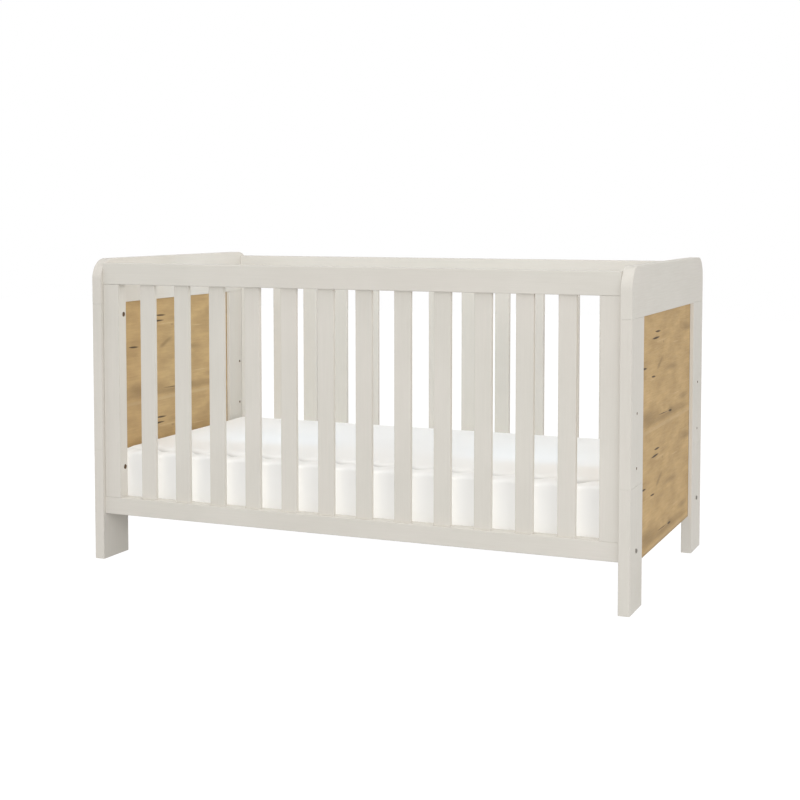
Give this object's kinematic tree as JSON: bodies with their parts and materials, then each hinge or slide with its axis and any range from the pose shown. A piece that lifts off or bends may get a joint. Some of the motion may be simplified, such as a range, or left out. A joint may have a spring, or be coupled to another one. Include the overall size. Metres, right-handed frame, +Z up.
{
  "type": "baby crib",
  "caption": "White baby crib with two oak-look panelled ends, two fixed slatted sides and a mattress on a base that can be set at several heights.",
  "frame": {"origin": "on the floor, below the middle of the crib", "axes": "+X along the length towards the right end, +Y towards the rear side, +Z up"},
  "size_m": [1.4676, 0.796, 0.805],
  "materials": {
    "white_paint": "satin white foil with a faint grain",
    "oak_face": "oak decor, matt, grain running across the end",
    "base_board": "plain white board",
    "mattress_cover": "soft white knitted cover",
    "dark_steel": "dark burnished steel"
  },
  "bodies": {
    "frame": {"left_front_post": "white_paint", "left_rear_post": "white_paint", "left_end_rail": "white_paint", "left_end_panel": "oak_face", "right_front_post": "white_paint", "right_rear_post": "white_paint", "right_end_rail": "white_paint", "right_end_panel": "oak_face", "front_top_rail": "white_paint", "front_bottom_rail": "white_paint", "front_left_stile": "white_paint", "front_right_stile": "white_paint", "front_slat_01": "white_paint", "front_slat_02": "white_paint", "front_slat_03": "white_paint", "front_slat_04": "white_paint", "front_slat_05": "white_paint", "front_slat_06": "white_paint", "front_slat_07": "white_paint", "front_slat_08": "white_paint", "front_slat_09": "white_paint", "front_slat_10": "white_paint", "front_slat_11": "white_paint", "front_slat_12": "white_paint", "rear_top_rail": "white_paint", "rear_bottom_rail": "white_paint", "rear_left_stile": "white_paint", "rear_right_stile": "white_paint", "rear_slat_01": "white_paint", "rear_slat_02": "white_paint", "rear_slat_03": "white_paint", "rear_slat_04": "white_paint", "rear_slat_05": "white_paint", "rear_slat_06": "white_paint", "rear_slat_07": "white_paint", "rear_slat_08": "white_paint", "rear_slat_09": "white_paint", "rear_slat_10": "white_paint", "rear_slat_11": "white_paint", "rear_slat_12": "white_paint", "front_left_side_bolt_lower": "dark_steel", "front_left_side_bolt_upper": "dark_steel", "front_right_side_bolt_lower": "dark_steel", "front_right_side_bolt_upper": "dark_steel", "rear_left_side_bolt_lower": "dark_steel", "rear_left_side_bolt_upper": "dark_steel", "rear_right_side_bolt_lower": "dark_steel", "rear_right_side_bolt_upper": "dark_steel", "left_front_base_bolt": "dark_steel", "left_rear_base_bolt": "dark_steel", "right_front_base_bolt": "dark_steel", "right_rear_base_bolt": "dark_steel"},
    "base": {"base_front_rail": "base_board", "base_rear_rail": "base_board", "base_left_rail": "base_board", "base_right_rail": "base_board", "base_centre_rail": "base_board", "base_deck": "base_board"},
    "mattress": {"mattress": "mattress_cover"}
  },
  "joints": [
    {"name": "base_height", "type": "slide", "parent": "frame", "child": "base", "axis": [0, 0, 1], "range_m": [0, 0.321]},
    {"name": "mattress_lift", "type": "slide", "parent": "base", "child": "mattress", "axis": [0, 0, 1], "range_m": [0, 0.66]}
  ]
}
